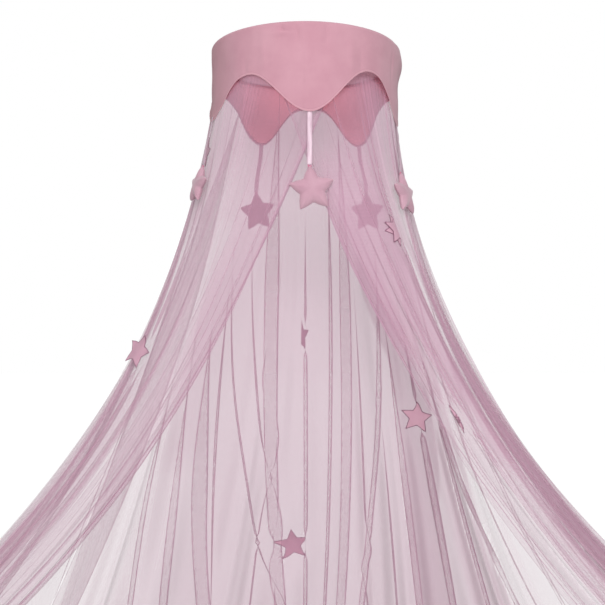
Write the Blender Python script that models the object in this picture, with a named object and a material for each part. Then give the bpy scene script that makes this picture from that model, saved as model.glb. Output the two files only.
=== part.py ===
"""Mosquito net canopy on a hoop.

A cloth band with five rounded points is folded over a thin ring. A fine net is sewn inside it, open at the
front, where its two flaps cross under the front point and sweep out to the sides. A padded star hangs on a
ribbon behind each point, and flat stars are sewn on the net.

Metres, +Z up. The origin is the hoop's centre, at the level of the band's top edge. The front faces -Y. Angles
round the hoop are in degrees from the front, positive towards +X.
"""

from math import atan2, cos, degrees, hypot, pi, radians, sin, tan

import bmesh
import bpy
import numpy as np
from mathutils import Matrix, Vector

# Driving dimensions, in metres
GAP = 0.00035  # between pieces that touch
HOOP_RADIUS = 0.2925  # centre line of the tube
HOOP_TUBE = 0.0055
BAND_THICK = 0.0018
FOLD_RADIUS = HOOP_TUBE + GAP + BAND_THICK / 2 + 0.0008  # of the band's turn over the hoop
BAND_RADIUS = HOOP_RADIUS + FOLD_RADIUS  # middle of the outer wall
FACING_RADIUS = HOOP_RADIUS - FOLD_RADIUS  # middle of the turned-in part
FACING_DEPTH = 0.042  # from the top edge down to where the net is sewn
NET_THICK = 0.0012
NET_TOP = -FACING_DEPTH - GAP
NET_HEM = -2.10
RIBBON_WIDTH = 0.016
RIBBON_THICK = 0.0010
RIBBON_GAP = 0.0007  # between a ribbon and the band's wall
NET_CLEAR = 0.002  # between the net and a ribbon that hangs over it
STAR_DEPTH = 0.030  # of a padded star, through its middle
PATCH_THICK = 0.0011  # a flat star's cloth
PATCH_GAP = 0.0004  # between it and the net
STAR_WAIST = 0.53  # of a padded star between its arms, as a share of its radius
PATCH_WAIST = 0.46  # and of a flat one
TIP_CUT = 0.97  # share of a star's radius that its blunt tips keep
TIP_WIDTH = 0.10  # of a blunt tip, in radians
SIDE_DRAW = 0.93  # how far a star's sides draw in
CUTTER_REACH = 0.12  # of the star-shaped cutter, each way from the net
SEAM = 0.0006  # between two breadths of the net

# The five points of the band, each with the arch that follows it, and what hangs behind it
POINTS = (
    # name, angle, tip z, sharpness, next arch z, ribbon length, star radius, its roll, how far round it has swung
    ("front", 2.5, -0.262, 1.05, -0.130, 0.155, 0.070, -9.0, 0.0),
    ("right", 76.0, -0.256, 1.20, -0.134, 0.162, 0.070, 6.0, -16.0),
    ("back_right", 142.0, -0.260, 1.50, -0.136, 0.158, 0.074, -5.0, 0.0),
    ("back_left", 210.0, -0.251, 1.70, -0.138, 0.164, 0.073, 12.0, 0.0),
    ("left", 290.0, -0.248, 1.15, -0.143, 0.146, 0.062, 8.0, 6.0),
)
COLUMNS_A_POINT = 14

# Soft bulges and hollows of the band's outer wall
BULGES = (
    # angle, z, half-width in degrees, half-height, outwards
    (95.0, -0.035, 26.0, 0.040, 0.0085),
    (-62.0, -0.110, 16.0, 0.060, -0.0030),
    (40.0, -0.060, 20.0, 0.060, 0.0025),
    (-20.0, -0.030, 9.0, 0.018, 0.0030),
    (178.0, -0.080, 24.0, 0.060, 0.0035),
)

# Lines that the net hangs along, from the left flap's front edge round the back to the right flap's
GUIDES = (
    # cloth, hoop angle, hem x, hem y, straight share, power
    (0.00, 22.0, -1.30, -0.42, 0.56, 3.2),
    (0.10, -20.0, -1.40, -0.37, 0.36, 2.7),
    (0.19, -58.0, -1.46, -0.24, 0.20, 2.4),
    (0.28, -90.0, -1.46, -0.05, 0.285, 2.42),
    (0.36, -116.0, -1.12, 0.22, 0.60, 2.2),
    (0.43, -142.0, -0.68, 0.37, 0.90, 2.0),
    (0.50, -180.0, 0.00, 0.43, 0.80, 2.0),
    (0.57, -219.0, 0.60, 0.37, 0.85, 2.0),
    (0.64, -244.0, 1.06, 0.23, 0.45, 2.4),
    (0.72, -270.0, 1.49, -0.05, 0.135, 2.30),
    (0.81, -302.0, 1.49, -0.24, 0.12, 2.3),
    (0.90, -340.0, 1.33, -0.37, 0.36, 2.4),
    (1.00, -382.0, 1.16, -0.42, 0.54, 2.4),
)
SWEEP_START = 0.03  # share of the drop that hangs straight before the net sweeps out
FLAP_INSET = 0.024  # the right flap passes this far inside its line where the flaps cross
FLAP_OUTSET = 0.007  # and the left one this far outside its own

# The breadths of the net, and the folds that each hangs in
BREADTHS = (
    # node, first cloth, last cloth, folds, depth at hem, overlap of the folds, lean
    ("net_flap_left", 0.00, 0.20, 5, 0.036, 0.07, 0.30),
    ("net_side_left", 0.20, 0.40, 5, 0.048, 0.09, 0.20),
    ("net_back", 0.40, 0.60, 8, 0.044, 0.11, -0.15),
    ("net_side_right", 0.60, 0.80, 5, 0.048, 0.09, -0.25),
    ("net_flap_right", 0.80, 1.00, 5, 0.036, 0.06, -0.30),
)
COLUMNS_A_FOLD = 5
ROWS = 13
TOP_FOLD = 0.0010  # depth of the folds at the seam

# Flat stars sewn on the net, one of them on its inner face
PATCHES = (
    # name, cloth, drop, radius, roll, how far the folds are flattened there, face of the net
    ("patch_left_wing", 0.217, 0.452, 0.055, 10.0, 0.85, 1),
    ("patch_back_right", 0.572, 0.578, 0.060, -6.0, 0.85, -1),
    ("patch_back_low", 0.4945, 0.817, 0.060, 8.0, 0.85, 1),
    ("patch_back_middle", 0.4995, 0.436, 0.058, 0.0, 0.00, 1),
    ("patch_right_high", 0.880, 0.272, 0.052, -14.0, 0.30, 1),
    ("patch_right_wing", 0.937, 0.538, 0.050, 20.0, 0.30, 1),
    ("patch_left_high", 0.233, 0.146, 0.050, 12.0, 0.60, 1),
)

PINK_CLOTH = (0.70, 0.37, 0.45)
MAUVE_NET = (0.55, 0.36, 0.45)
STAR_PINK = (0.63, 0.34, 0.43)
SATIN_PINK = (0.80, 0.58, 0.68)
HOOP_WHITE = (0.80, 0.78, 0.76)


def clear_scene():
    for thing in list(bpy.data.objects):
        bpy.data.objects.remove(thing, do_unlink=True)


def make_material(name, colour, roughness):
    material = bpy.data.materials.new(name)
    material.use_nodes = True
    shader = material.node_tree.nodes["Principled BSDF"]
    shader.inputs["Base Color"].default_value = (*colour, 1.0)
    shader.inputs["Roughness"].default_value = roughness
    shader.inputs["Metallic"].default_value = 0.0
    return material


def make_object(name, points, faces, material):
    """A mesh object with its faces in one direction, shaded smooth."""
    mesh = bpy.data.meshes.new(name)
    mesh.from_pydata([tuple(map(float, p)) for p in points], [], faces)
    mesh.materials.append(material)
    mesh.shade_smooth()
    piece = bpy.data.objects.new(name, mesh)
    bpy.context.scene.collection.objects.link(piece)
    return piece


def grid_faces(rows, columns, closed=False):
    """Triangles over a grid of points kept row by row, so that layers of one grid lie flat on each other."""
    faces = []
    for row in range(rows - 1):
        for column in range(columns if closed else columns - 1):
            after = (column + 1) % columns
            here, below = row * columns + column, (row + 1) * columns + column
            beside, across = row * columns + after, (row + 1) * columns + after
            faces += [(here, below, across), (here, across, beside)]
    return faces


def thicken(piece, thickness):
    solid = piece.modifiers.new("thickness", "SOLIDIFY")
    solid.thickness = thickness
    solid.offset = 0.0
    solid.use_even_offset = True
    solid.use_quality_normals = True


def on_hoop(radius, angle, z):
    turn = radians(angle)
    return Vector((radius * sin(turn), -radius * cos(turn), z))


def smooth_step(low, high, value):
    share = np.clip((value - low) / (high - low), 0.0, 1.0)
    return share * share * (3.0 - 2.0 * share)


def smooth_table(table, column, where):
    """A smooth curve through one column of a table, over its first column."""
    at = np.array([row[0] for row in table])
    value = np.array([row[column] for row in table], dtype=float)
    slope = np.gradient(value, at)
    first = np.clip(np.searchsorted(at, where, side="right") - 1, 0, len(at) - 2)
    step = at[first + 1] - at[first]
    q = (where - at[first]) / step
    return ((2 * q**3 - 3 * q**2 + 1) * value[first] + (q**3 - 2 * q**2 + q) * step * slope[first]
            + (3 * q**2 - 2 * q**3) * value[first + 1] + (q**3 - q**2) * step * slope[first + 1])


def net_base(cloth, drop):
    """The net's middle surface without its folds: plan position for a share of the cloth and of the drop."""
    angle = np.radians(smooth_table(GUIDES, 1, cloth))
    top_x, top_y = FACING_RADIUS * np.sin(angle), -FACING_RADIUS * np.cos(angle)
    straight, power = smooth_table(GUIDES, 4, cloth), smooth_table(GUIDES, 5, cloth)
    late = np.maximum(drop - SWEEP_START, 0.0) / (1.0 - SWEEP_START)
    sweep = straight * late + (1.0 - straight) * late**power
    x = top_x + (smooth_table(GUIDES, 2, cloth) - top_x) * sweep
    y = top_y + (smooth_table(GUIDES, 3, cloth) - top_y) * sweep
    crossing = 1.0 - smooth_step(0.18, 0.34, drop)
    out = FLAP_OUTSET * smooth_step(0.14, 0.02, cloth) * smooth_step(0.0, 0.05, drop)
    out = (out - FLAP_INSET * smooth_step(0.78, 0.88, cloth)) * crossing
    return x + out * np.sin(angle), y - out * np.cos(angle)


def fold_phase(cloth, drop):
    """How many folds there are from the left edge to here, in turns, and this place's fold sizes."""
    turns = np.zeros_like(cloth)
    depth, lap, lean, width = (np.zeros_like(cloth) for _ in range(4))
    for _, first, last, folds, hem_depth, overlap, side in BREADTHS:
        q = np.clip((cloth - first) / (last - first), 0.0, 1.0)
        uneven = 0.035 * np.sin(2 * pi * q) + 0.022 * np.sin(4 * pi * q) + 0.014 * np.sin(6 * pi * q)
        drift = 0.20 * np.sin(pi * q) * np.sin(3.0 * drop + 9.0 * first)
        turns = turns + folds * (q + uneven) + drift
        here = (cloth >= first) & (cloth <= last)
        depth = np.where(here, hem_depth, depth)
        lap = np.where(here, overlap, lap)
        lean = np.where(here, side, lean)
        width = np.where(here, (last - first) / folds, width)
    uneven_depth = 1.0 + 0.30 * np.sin(2 * pi * (7.3 * cloth + 0.15)) + 0.22 * np.sin(2 * pi * (17.0 * cloth))
    return turns, depth * uneven_depth, lap, lean, width


def net_surface(cloth, drop):
    """The net's middle surface with its folds, as arrays of x, y and z."""
    cloth, drop = np.broadcast_arrays(np.asarray(cloth, float), np.asarray(drop, float))
    x, y = net_base(cloth, drop)
    step = 0.002
    before, after = np.clip(cloth - step, 0.0, 1.0), np.clip(cloth + step, 0.0, 1.0)
    (x0, y0), (x1, y1) = net_base(before, drop), net_base(after, drop)
    along_x, along_y = x1 - x0, y1 - y0
    length = np.hypot(along_x, along_y)
    spread = length / (after - before)  # metres of plan for the whole cloth, at this place
    along_x, along_y = along_x / length, along_y / length
    turns, depth, lap, lean, width = fold_phase(cloth, drop)
    swell = TOP_FOLD + depth * smooth_step(-0.25, 1.0, drop) * drop**1.1
    edge = smooth_step(0.0, 0.03, cloth) * smooth_step(0.0, 0.05, 1.0 - cloth)
    swell = swell * (0.2 + 0.8 * edge)
    for _, at_cloth, at_drop, radius, _, flattened, _ in PATCHES:
        away = np.hypot((cloth - at_cloth) * spread, (drop - at_drop) * (NET_TOP - NET_HEM))
        swell = swell * (1.0 - flattened * np.exp(-(away / (1.5 * radius)) ** 2))
    wave = np.sin(2 * pi * turns)
    fold_width = width * spread
    grown = smooth_step(0.02, 0.6, drop)
    slide = lean * swell * wave - lap * grown * fold_width * np.sin(4 * pi * turns)
    out_x, out_y = along_y, -along_x  # left of the way round, which points out of the net
    z = NET_TOP + (NET_HEM - NET_TOP) * drop
    return x - out_x * swell * wave + along_x * slide, y - out_y * swell * wave + along_y * slide, z


def net_levels():
    return (np.arange(ROWS + 1) / ROWS) ** 1.15


def net_columns(first, last, folds):
    return np.linspace(first, last, folds * COLUMNS_A_FOLD + 1)


def net_grid(first, last, folds):
    """A breadth's points, drawn in by half a seam at both sides."""
    x, y, z = net_surface(net_columns(first, last, folds)[None, :], net_levels()[:, None])
    grid = np.stack([x, y, z], axis=-1)
    for edge, beside in ((0, 1), (-1, -2)):
        inwards = grid[:, beside] - grid[:, edge]
        inwards /= np.linalg.norm(inwards, axis=1, keepdims=True)
        grid[:, edge] += inwards * SEAM / 2
    return grid


OUTLINES = {}  # the net's outline at each level that was asked for


def net_outline(z):
    """Radius and angle of points all along the breadths at one level, on their flats."""
    points = []
    for _, first, last, folds, *_ in BREADTHS:
        grid = net_grid(first, last, folds)
        row = int(np.clip(np.searchsorted(-grid[:, 0, 2], -z) - 1, 0, ROWS - 1))
        share = (z - grid[row, 0, 2]) / (grid[row + 1, 0, 2] - grid[row, 0, 2])
        line = grid[row, :, :2] * (1 - share) + grid[row + 1, :, :2] * share
        for part in np.linspace(0.0, 1.0, 5):
            points.append(line[:-1] * (1 - part) + line[1:] * part)
    points = np.concatenate(points)
    return np.hypot(points[:, 0], points[:, 1]), np.degrees(np.arctan2(points[:, 0], -points[:, 1]))


def net_reach(angle, z):
    """How far out the net comes near an angle and at a level, with its folds and thickness."""
    if z >= NET_TOP:
        return FACING_RADIUS
    if z not in OUTLINES:
        OUTLINES[z] = net_outline(z)
    radius, around = OUTLINES[z]
    near = np.abs((around - angle + 180.0) % 360.0 - 180.0) < 7.0
    return float(radius[near].max()) + NET_THICK / 2 if near.any() else FACING_RADIUS


def band_hem(angle):
    """Level of the band's lower edge: rounded points with rounded arches between them."""
    angle = (angle - POINTS[0][1]) % 360.0 + POINTS[0][1]
    for here, after in zip(POINTS, POINTS[1:] + POINTS[:1]):
        span = (after[1] - here[1]) % 360.0
        share = (angle - here[1]) / span
        if share <= 1.0:
            tip, sharpness = (here if share < 0.5 else after)[2:4]
            wave = (0.5 + 0.5 * cos(2 * pi * share)) ** sharpness
            return here[4] + (tip - here[4]) * wave
    return POINTS[0][2]


def band_radius(angle, z):
    """Middle of the band's outer wall, with its bulges, kept clear of the net below."""
    radius = BAND_RADIUS
    for at, level, half_width, half_height, out in BULGES:
        away = (angle - at + 180.0) % 360.0 - 180.0
        radius += out * np.exp(-(away / half_width) ** 2 - ((z - level) / half_height) ** 2)
    clear = net_reach(angle, z) + 0.0030 + BAND_THICK / 2
    return max(radius, clear)


def hoop_angles():
    """The angles of the band's and the hoop's columns, so that their flats lie along each other."""
    angles = []
    for here, after in zip(POINTS, POINTS[1:] + POINTS[:1]):
        span = (after[1] - here[1]) % 360.0
        angles += [here[1] + span * k / COLUMNS_A_POINT for k in range(COLUMNS_A_POINT)]
    return angles


def build_hoop(material):
    """A plain tube ring."""
    sides = 6
    angles = hoop_angles()
    points = []
    for k in range(sides):
        turn = 2 * pi * (k + 0.5) / sides
        radius = HOOP_RADIUS + HOOP_TUBE * cos(turn)
        z = -FOLD_RADIUS - BAND_THICK / 2 + HOOP_TUBE * sin(turn)
        points += [on_hoop(radius, angle, z) for angle in angles]
    faces = grid_faces(sides, len(angles), closed=True)
    last = (sides - 1) * len(angles)
    for column in range(len(angles)):
        after = (column + 1) % len(angles)
        faces.append((last + column, column, after, last + after))
    make_object("hoop", points, [face[::-1] for face in faces], material)


def band_section(angle):
    """The band from its hem up the outside, over the hoop and down inside to the seam."""
    hem = band_hem(angle)
    shoulder = -FOLD_RADIUS - BAND_THICK / 2
    section = []
    for share in (0.0, 0.25, 0.55, 0.85):
        z = hem + (shoulder - hem) * share
        section.append((band_radius(angle, z), z))
    for turn in (0.0, 60.0, 120.0, 180.0):
        out = FOLD_RADIUS * cos(radians(turn))
        section.append((HOOP_RADIUS + out, shoulder + FOLD_RADIUS * sin(radians(turn))))
    section.append((FACING_RADIUS, -FACING_DEPTH))
    return section


def build_band(material):
    angles = hoop_angles()
    sections = [band_section(angle) for angle in angles]
    smooth = np.array(sections)
    for _ in range(2):  # the net pushes the wall out softly, not in steps
        wall = smooth[:, :4, 0]
        eased = 0.25 * np.roll(wall, 1, axis=0) + 0.5 * wall + 0.25 * np.roll(wall, -1, axis=0)
        smooth[:, :4, 0] = np.maximum(wall, eased)
    rows = smooth.shape[1]
    points = [on_hoop(smooth[c, r, 0], angles[c], smooth[c, r, 1])
              for r in range(rows) for c in range(len(angles))]
    band = make_object("crown_band", points, grid_faces(rows, len(angles), closed=True), material)
    thicken(band, BAND_THICK)


def layer_over(grid, rows, columns, lifts):
    """A closed layer over part of a grid whose faces point inwards, between two heights outside it."""
    whole = bmesh.new()
    corners = [whole.verts.new(tuple(p)) for p in grid.reshape(-1, 3)]
    for face in grid_faces(*grid.shape[:2]):
        whole.faces.new([corners[k] for k in face])
    whole.normal_update()
    picked = [row * grid.shape[1] + column for row in range(rows[0], rows[1] + 1)
              for column in range(columns[0], columns[1] + 1)]
    outward = -sum((corners[k].normal for k in picked), Vector()).normalized()
    points = [corners[k].co - corners[k].normal * corners[k].calc_shell_factor() * lift
              for lift in lifts for k in picked]
    whole.free()
    high, wide = rows[1] - rows[0] + 1, columns[1] - columns[0] + 1
    count = high * wide
    skin = grid_faces(high, wide)
    faces = skin + [tuple(k + count for k in face[::-1]) for face in skin]
    rim = ([column for column in range(wide)] + [row * wide + wide - 1 for row in range(1, high)]
           + [(high - 1) * wide + column for column in range(wide - 2, -1, -1)]
           + [row * wide for row in range(high - 2, 0, -1)])
    for a, b in zip(rim, rim[1:] + rim[:1]):
        faces += [(a, b + count, a + count), (a, b, b + count)]
    return points, faces, outward


def build_net(material):
    """Each breadth is one layer over its whole grid of points."""
    for name, first, last, folds, *_ in BREADTHS:
        grid = net_grid(first, last, folds)
        whole = (0, grid.shape[0] - 1), (0, grid.shape[1] - 1)
        points, faces, _ = layer_over(grid, *whole, (-NET_THICK / 2, NET_THICK / 2))
        make_object(name, points, faces, material)


def star_outline(radius, waist, per_side=2):
    """A five-pointed star in the XZ plane, with blunt tips and sides that draw in a little."""
    outline = []
    for arm in range(5):
        tip = radians(90.0 + 72.0 * arm)
        for side in (-1, 1):
            valley = tip + side * radians(36.0)
            edge = [tuple(radius * TIP_CUT * f(tip + side * TIP_WIDTH / 2) for f in (cos, sin))]
            for share in np.arange(1, per_side) / per_side:
                along = [f(tip) * radius * (1 - share) + f(valley) * waist * share for f in (cos, sin)]
                edge.append(tuple(SIDE_DRAW * c for c in along))
            outline += edge[::-1] if side < 0 else edge
        outline.append((waist * cos(valley), waist * sin(valley)))
    return outline


def place_upright(points, centre, facing, tilt, roll):
    """Turn points of the XZ plane, whose front is -Y, to face an angle, lean and roll, and move them."""
    turn = Matrix.Rotation(radians(facing), 4, "Z") @ Matrix.Rotation(radians(tilt), 4, "X")
    turn = Matrix.Translation(centre) @ turn @ Matrix.Rotation(radians(roll), 4, "Y")
    return [turn @ Vector(p) for p in points]


def star_seat(angle, z, radius):
    """Where a padded star hangs: how far out, and its lean on the flaring net."""
    upper, lower = z + 0.5 * radius, z - 0.6 * radius
    reach_up, reach_low = net_reach(angle, upper), net_reach(angle, lower)
    lean = atan2(max(reach_low - reach_up, 0.0), upper - lower)
    return max(net_reach(angle, z), reach_up, 0.5 * (reach_up + reach_low)), degrees(lean)


def build_padded_star(name, radius, centre, facing, tilt, roll, material):
    """Two faces sewn round the edge and filled: rings rise from the seam to a low crown."""
    outline = star_outline(radius, STAR_WAIST * radius)
    rings = ((1.0, 0.0), (0.86, 0.62), (0.55, 0.92))
    count = len(outline)
    points, faces = [], []
    for side in (-1, 1):
        for scale, rise in rings if side < 0 else rings[1:]:
            points += [(x * scale, side * rise * STAR_DEPTH / 2, z * scale) for x, z in outline]
        points.append((0.0, side * STAR_DEPTH / 2, 0.0))
    starts = ((0, count, 2 * count, 3 * count), (0, 3 * count + 1, 4 * count + 1, 5 * count + 1))
    for side, (edge, first, second, crown) in zip((-1, 1), starts):
        for low, high in ((edge, first), (first, second)):
            for k in range(count):
                after = (k + 1) % count
                quad = (low + k, low + after, high + after, high + k)
                faces.append(quad if side < 0 else quad[::-1])
        for k in range(count):
            after = (k + 1) % count
            fan = (second + k, second + after, crown)
            faces.append(fan if side < 0 else fan[::-1])
    make_object(name, place_upright(points, centre, facing, tilt, roll), faces, material)


def build_pendants(ribbon_material, star_material):
    """A ribbon sewn behind each point, with its padded star."""
    for name, angle, tip, _, _, length, radius, roll, swing in POINTS:
        end = tip - length
        centre_z = end - radius * TIP_CUT * cos(radians(roll))
        loose = name == "front"
        reach, lean = (0.0, 0.0) if loose else star_seat(angle + swing, centre_z, radius)
        flats = RIBBON_WIDTH / 2 * tan(pi / (5 * COLUMNS_A_POINT))  # the wall's flats come in beside its columns
        sewn_in = BAND_THICK / 2 + flats + RIBBON_GAP + RIBBON_THICK / 2
        behind = band_radius(angle, tip) - sewn_in
        out = max(behind, reach + 0.6 * STAR_DEPTH / max(cos(radians(lean)), 0.5))
        tip_out = out - radius * sin(radians(lean))
        levels = [tip + 0.014, tip + 0.004, tip - 0.02] + [tip - length * k for k in (0.3, 0.55, 0.8, 1.0)]
        points = []
        for z in levels:
            share = float(smooth_step(0.0, 1.0, (tip - z) / length))
            around = angle + swing * share
            hang = behind * (1 - share) + tip_out * share
            clear = 0.0 if loose else net_reach(around, z) + NET_CLEAR
            middle = on_hoop(max(hang, clear) if z < tip else band_radius(angle, z) - sewn_in, around, z)
            side = on_hoop(RIBBON_WIDTH / 2, around + 90.0, 0.0)
            points += [middle - side, middle + side]
        ribbon = make_object("ribbon_" + name, points, grid_faces(len(levels), 2), ribbon_material)
        thicken(ribbon, RIBBON_THICK)
        outline = [(x, 0.0, z) for x, z in star_outline(radius, STAR_WAIST * radius)]
        upper_tip = max(place_upright(outline, (0.0, 0.0, 0.0), angle + swing, -lean, roll), key=lambda p: p.z)
        centre = middle - upper_tip - Vector((0.0, 0.0, GAP))
        build_padded_star("star_" + name, radius, centre, angle + swing, -lean, roll, star_material)


def breadth_at(cloth):
    """The breadth that holds a place in the cloth: its columns and its grid of points."""
    for _, first, last, folds, *_ in BREADTHS:
        if first <= cloth <= last:
            return net_columns(first, last, folds), net_grid(first, last, folds)
    raise ValueError("no breadth there")


def span_about(lengths, middle, reach):
    """First and last index of a run that reaches this far both ways from its middle."""
    place = np.concatenate([[0.0], np.cumsum(lengths)])
    low = int(np.searchsorted(place, place[middle] - reach, side="right")) - 1
    high = int(np.searchsorted(place, place[middle] + reach))
    return max(low, 0), min(high, len(place) - 1)


def build_patches(material):
    """Flat stars that follow the net's folds: a layer over a face of the net, cut to a star."""
    near, far = NET_THICK / 2 + PATCH_GAP, NET_THICK / 2 + PATCH_GAP + PATCH_THICK
    for name, cloth, drop, radius, roll, _, face in PATCHES:
        lifts = (near, far) if face > 0 else (-far, -near)
        columns, grid = breadth_at(cloth)
        column = int(np.argmin(np.abs(columns - cloth)))
        row = int(np.argmin(np.abs(net_levels() - drop)))
        across = np.linalg.norm(np.diff(grid[row], axis=0), axis=1)
        down = np.linalg.norm(np.diff(grid[:, column], axis=0), axis=1)
        part_of = span_about(down, row, 1.9 * radius), span_about(across, column, 1.4 * radius)
        points, faces, outward = layer_over(grid, *part_of, lifts)
        layer = make_object(name, points, faces, material)
        outline = star_outline(radius, PATCH_WAIST * radius, per_side=1)
        count = len(outline)
        prism = [(x, y, z) for y in (-CUTTER_REACH, CUTTER_REACH) for x, z in outline]
        caps = [tuple(range(count)), tuple(range(2 * count - 1, count - 1, -1))]
        sides = [(k, k + count, (k + 1) % count + count, (k + 1) % count) for k in range(count)]
        centre = Vector([float(c) for c in net_surface(cloth, drop)])
        facing = degrees(atan2(outward.x, -outward.y))
        tilt = degrees(atan2(-outward.z, hypot(outward.x, outward.y)))
        cutter = make_object(name + "_shape", place_upright(prism, centre, facing, tilt, roll),
                             caps + sides, material)
        cutter.hide_render = True
        cutter.display_type = "WIRE"
        cut = layer.modifiers.new("cut to a star", "BOOLEAN")
        cut.operation = "INTERSECT"
        cut.object = cutter


def main():
    clear_scene()
    build_hoop(make_material("painted_tube", HOOP_WHITE, 0.45))
    build_band(make_material("pink_cotton", PINK_CLOTH, 0.85))
    build_net(make_material("mauve_net", MAUVE_NET, 0.80))
    build_pendants(make_material("pink_satin", SATIN_PINK, 0.30), make_material("star_velour", STAR_PINK, 0.80))
    build_patches(make_material("star_cloth", STAR_PINK, 0.85))


main()
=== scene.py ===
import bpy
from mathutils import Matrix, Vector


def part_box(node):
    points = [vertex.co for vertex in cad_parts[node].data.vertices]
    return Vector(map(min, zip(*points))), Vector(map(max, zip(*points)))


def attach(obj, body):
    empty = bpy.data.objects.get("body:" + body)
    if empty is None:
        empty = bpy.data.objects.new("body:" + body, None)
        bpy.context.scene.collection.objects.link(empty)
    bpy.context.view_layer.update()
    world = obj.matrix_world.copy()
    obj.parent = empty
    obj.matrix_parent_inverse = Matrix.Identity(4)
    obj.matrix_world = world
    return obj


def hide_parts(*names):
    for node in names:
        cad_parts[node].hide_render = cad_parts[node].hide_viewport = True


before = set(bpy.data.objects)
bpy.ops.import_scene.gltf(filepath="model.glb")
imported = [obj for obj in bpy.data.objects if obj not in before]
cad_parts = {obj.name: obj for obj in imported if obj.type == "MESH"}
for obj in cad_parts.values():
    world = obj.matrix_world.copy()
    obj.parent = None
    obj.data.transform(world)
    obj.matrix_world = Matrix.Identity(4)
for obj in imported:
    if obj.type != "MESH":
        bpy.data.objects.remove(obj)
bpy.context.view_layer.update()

from math import atan2, cos, hypot, pi, radians, sin

import bpy
import numpy as np
from mathutils import Vector

# ---- Hoop
# A ring of thin steel tube, bent round, welded end to end and painted white. The band is folded over it and
# hides it, except for its underside as seen from inside.

HOOP_RADIUS = 0.2925  # centre line of the tube
TUBE_WALL = 0.0006


def linear(code):
    """An sRGB hex colour as Blender's linear one."""
    parts = [int(code[i:i + 2], 16) / 255 for i in (1, 3, 5)]
    return [c / 12.92 if c <= 0.04045 else ((c + 0.055) / 1.055) ** 2.4 for c in parts] + [1.0]


def link(material, value, entry):
    """Links an output to an input. A node stands for its first output."""
    material.node_tree.links.new(value.outputs[0] if isinstance(value, bpy.types.Node) else value, entry)


def add_node(material, kind, inputs=None, **settings):
    """Adds a node with its settings, and gives its inputs values or links."""
    node = material.node_tree.nodes.new(kind)
    for name, value in settings.items():
        setattr(node, name, value)
    for name, value in (inputs or {}).items():
        if isinstance(value, (bpy.types.Node, bpy.types.NodeSocket)):
            link(material, value, node.inputs[name])
        else:
            node.inputs[name].default_value = value
    return node


def new_material(name, roughness, **sockets):
    """A material, with the values that hold all over it. A socket's name is written with _ for a space."""
    material = bpy.data.materials.new(name)
    material.use_nodes = True
    for socket, value in {"Roughness": roughness, **sockets}.items():
        material.node_tree.nodes["Principled BSDF"].inputs[socket.replace("_", " ")].default_value = value
    return material


def feed(material, socket, value):
    """Links an output to a socket of the material's shader."""
    link(material, value, material.node_tree.nodes["Principled BSDF"].inputs[socket])


hoop_low, hoop_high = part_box("hoop")
hoop_z = (hoop_low[2] + hoop_high[2]) / 2
hoop_tube = (hoop_high[2] - hoop_low[2]) / 2
bpy.ops.object.select_all(action="DESELECT")
bpy.ops.mesh.primitive_torus_add(major_segments=180, minor_segments=14, major_radius=HOOP_RADIUS,
                                 minor_radius=hoop_tube, location=(0, 0, hoop_z))
hoop = bpy.context.object
hoop.name = "hoop_tube"
bpy.ops.object.transform_apply(location=True, rotation=True, scale=True)
bpy.ops.object.mode_set(mode="EDIT")  # all of it is selected, and what stays behind is the bore
bpy.ops.mesh.extrude_region_shrink_fatten(TRANSFORM_OT_shrink_fatten={"value": TUBE_WALL})
bpy.ops.object.mode_set(mode="OBJECT")
bpy.ops.object.shade_smooth_by_angle(angle=radians(40))

# Powder paint on steel: hard and even, a soft shine with a faint orange-peel ripple
paint = new_material("white_powder_paint", 0.38, IOR=1.5, Base_Color=linear("#ece8e4"))
where = add_node(paint, "ShaderNodeTexCoord")
ripple = add_node(paint, "ShaderNodeTexNoise", {"Vector": where.outputs["Object"], "Scale": 700.0,
    "Detail": 2.0})
bump = add_node(paint, "ShaderNodeBump", {"Height": ripple, "Strength": 0.08, "Distance": 0.0004})
feed(paint, "Normal", bump)
hoop.data.materials.clear()
hoop.data.materials.append(paint)
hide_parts("hoop")
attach(hoop, "root")

# ---- Net
# A fine knitted polyester net, dyed mauve, in five breadths sewn edge to edge. The top is gathered and sewn
# inside the band. It falls in soft folds and sweeps out to the sides, and its two front flaps cross under the
# front point.

NET_LOW, NET_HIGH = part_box("net_back")
SEAM_RADIUS = 0.2850  # of the sewn top
SWEEP_START = 0.03  # share of the drop that hangs straight before the net sweeps out
FLAP_INSET, FLAP_OUTSET = 0.024, 0.007  # how far the flaps pass each other where they cross
GUIDES = (
    # cloth, hoop angle, hem x, hem y, straight share, power
    (0.00, 22.0, -1.30, -0.42, 0.56, 3.2),
    (0.10, -20.0, -1.40, -0.37, 0.36, 2.7),
    (0.19, -58.0, -1.46, -0.24, 0.20, 2.4),
    (0.28, -90.0, -1.46, -0.05, 0.285, 2.42),
    (0.36, -116.0, -1.12, 0.22, 0.60, 2.2),
    (0.43, -142.0, -0.68, 0.37, 0.90, 2.0),
    (0.50, -180.0, 0.00, 0.43, 0.80, 2.0),
    (0.57, -219.0, 0.60, 0.37, 0.85, 2.0),
    (0.64, -244.0, 1.06, 0.23, 0.45, 2.4),
    (0.72, -270.0, 1.49, -0.05, 0.135, 2.30),
    (0.81, -302.0, 1.49, -0.24, 0.12, 2.3),
    (0.90, -340.0, 1.33, -0.37, 0.36, 2.4),
    (1.00, -382.0, 1.16, -0.42, 0.54, 2.4),
)
BREADTHS = (
    # node, first and last cloth, folds, depth at hem, lean, pleats by rule, widths of the cut at top and hem
    ("net_flap_left", 0.00, 0.20, 5, 0.036, 0.30, 17, 0.55, 1.15),
    ("net_side_left", 0.20, 0.40, 5, 0.048, 0.20, 8, 0.55, 1.70),
    ("net_back", 0.40, 0.60, 8, 0.044, -0.15, 0, 0.75, 3.00),
    ("net_side_right", 0.60, 0.80, 5, 0.048, -0.25, 8, 0.55, 1.80),
    ("net_flap_right", 0.80, 1.00, 5, 0.036, -0.30, 17, 0.55, 1.15),
)
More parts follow.
